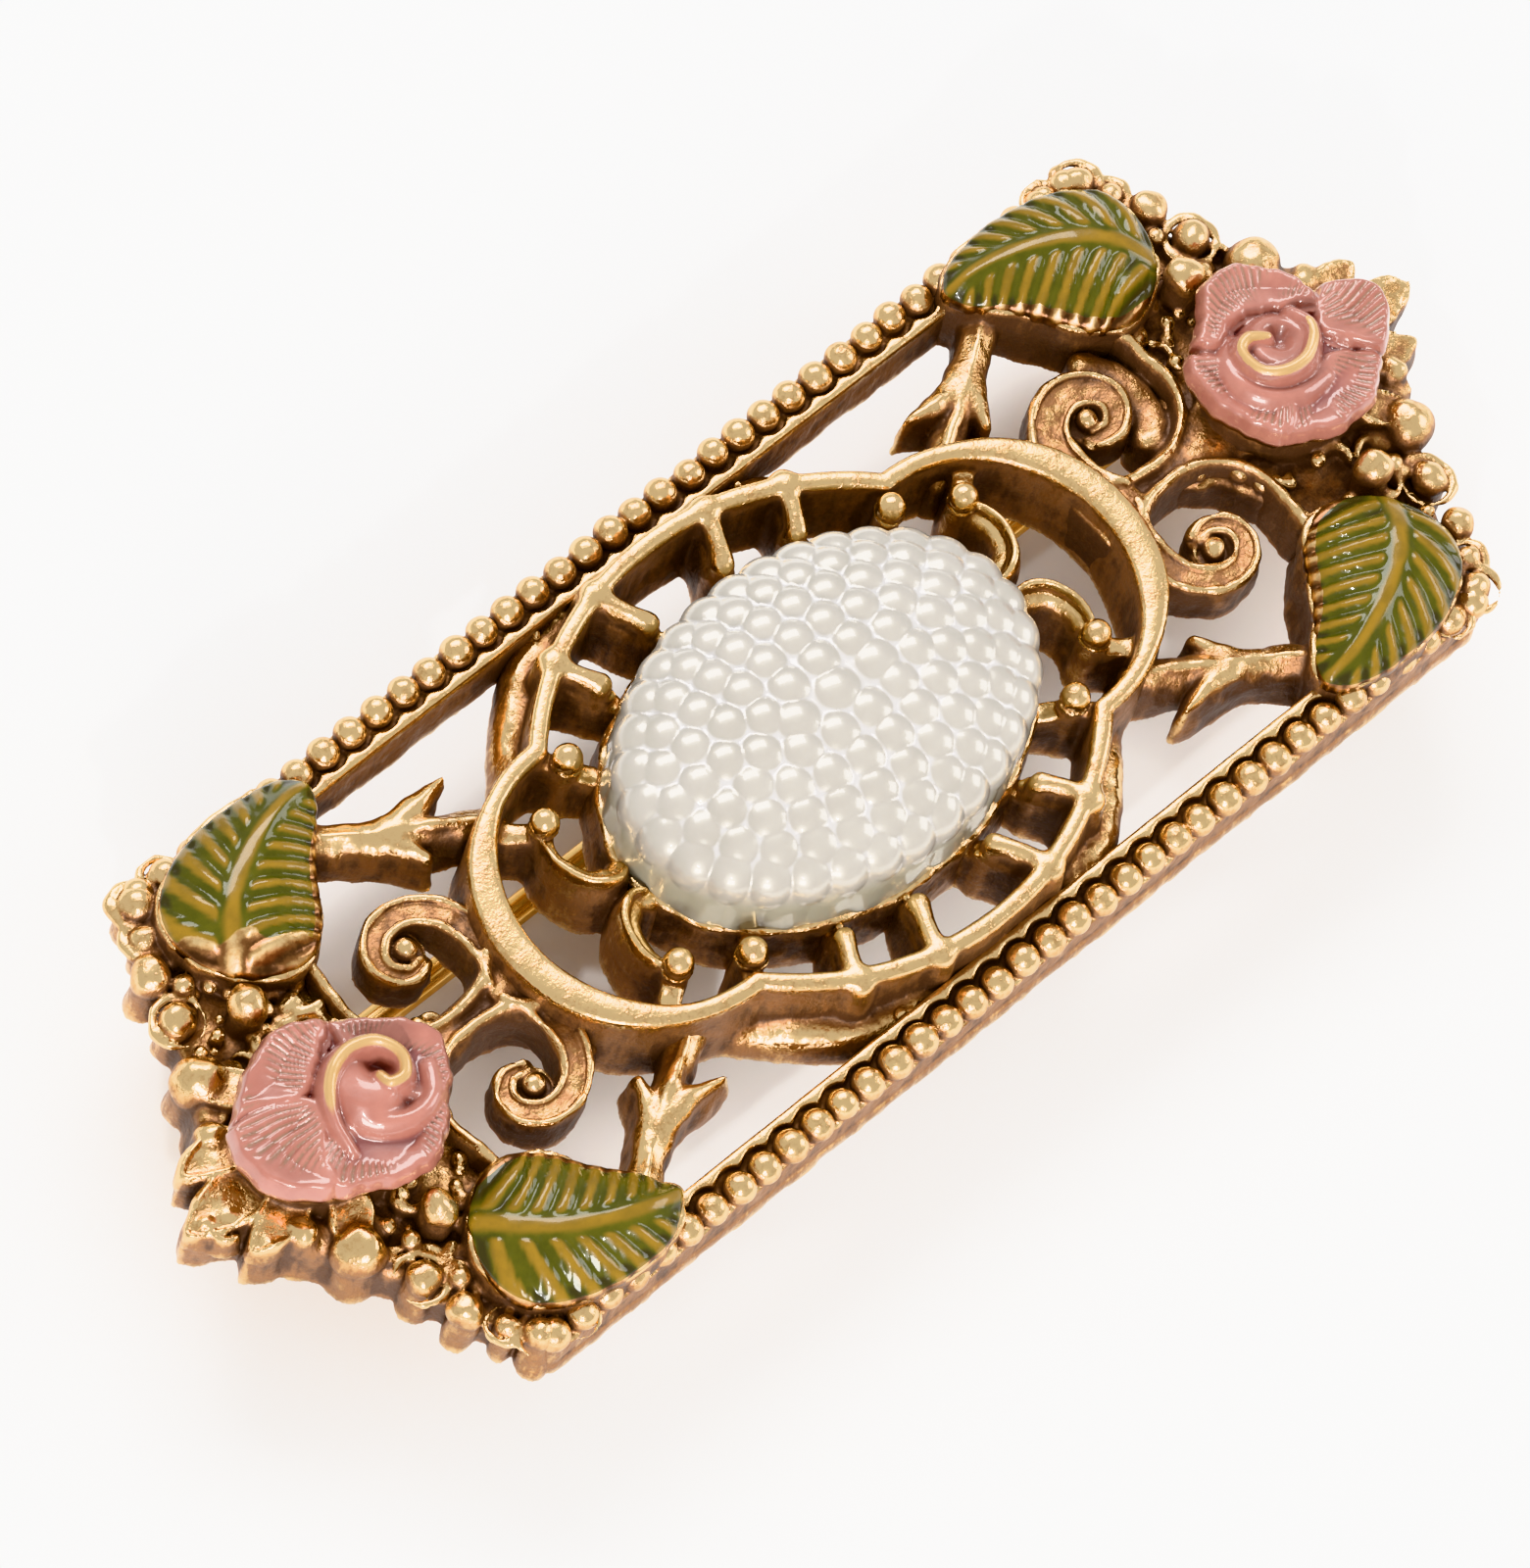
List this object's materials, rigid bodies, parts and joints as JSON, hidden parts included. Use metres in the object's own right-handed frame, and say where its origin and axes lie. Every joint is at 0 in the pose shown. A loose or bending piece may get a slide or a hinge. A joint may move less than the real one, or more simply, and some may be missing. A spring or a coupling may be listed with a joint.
{
  "type": "barrette",
  "caption": "Oblong openwork hair barrette with a domed cabochon, enamelled leaves and roses, and a hinged snap bar with a turning safety catch.",
  "frame": {"origin": "under the centre of the casting, level with the lowest point of the clasp, where the barrette rests", "axes": "+X along the length towards the hinged end of the bar, +Y across the width towards the edge the bar is nearer to, +Z out of the decorated face"},
  "size_m": [0.0836, 0.0312, 0.0166],
  "materials": {
    "antique_gold": "antiqued, dark patina in the recesses and worn bright on the edges",
    "bright_gold": "polished plating",
    "dark_steel": "polished dark",
    "leaf_enamel": "glossy cold enamel, thin over the ribs",
    "rose_enamel": "glossy cold enamel",
    "pearl": "pearlescent",
    "cement": "dull"
  },
  "bodies": {
    "ornament": {"filigree_casting": "antique_gold", "seed_pearl_cabochon": "pearl", "cabochon_cement": "cement", "leaf_enamel_upper_left": "leaf_enamel", "leaf_enamel_upper_right": "leaf_enamel", "leaf_enamel_lower_left": "leaf_enamel", "leaf_enamel_lower_right": "leaf_enamel", "rose_enamel_left": "rose_enamel", "rose_enamel_right": "rose_enamel", "hinge_plate": "bright_gold", "hinge_rivet": "dark_steel", "catch_base": "bright_gold"},
    "bar": {"clasp_bar": "bright_gold"},
    "sleeve": {"safety_sleeve": "dark_steel"}
  },
  "joints": [
    {"name": "bar_hinge", "type": "hinge", "parent": "ornament", "child": "bar", "pos_m": [0.0321, 0.0049, 0.0015], "axis": [0, -1, 0], "range_deg": [0, 110]},
    {"name": "sleeve_turn", "type": "hinge", "parent": "ornament", "child": "sleeve", "pos_m": [-0.0312, 0.0049, 0.0015], "axis": [1, 0, 0], "range_deg": [0, 120]}
  ]
}
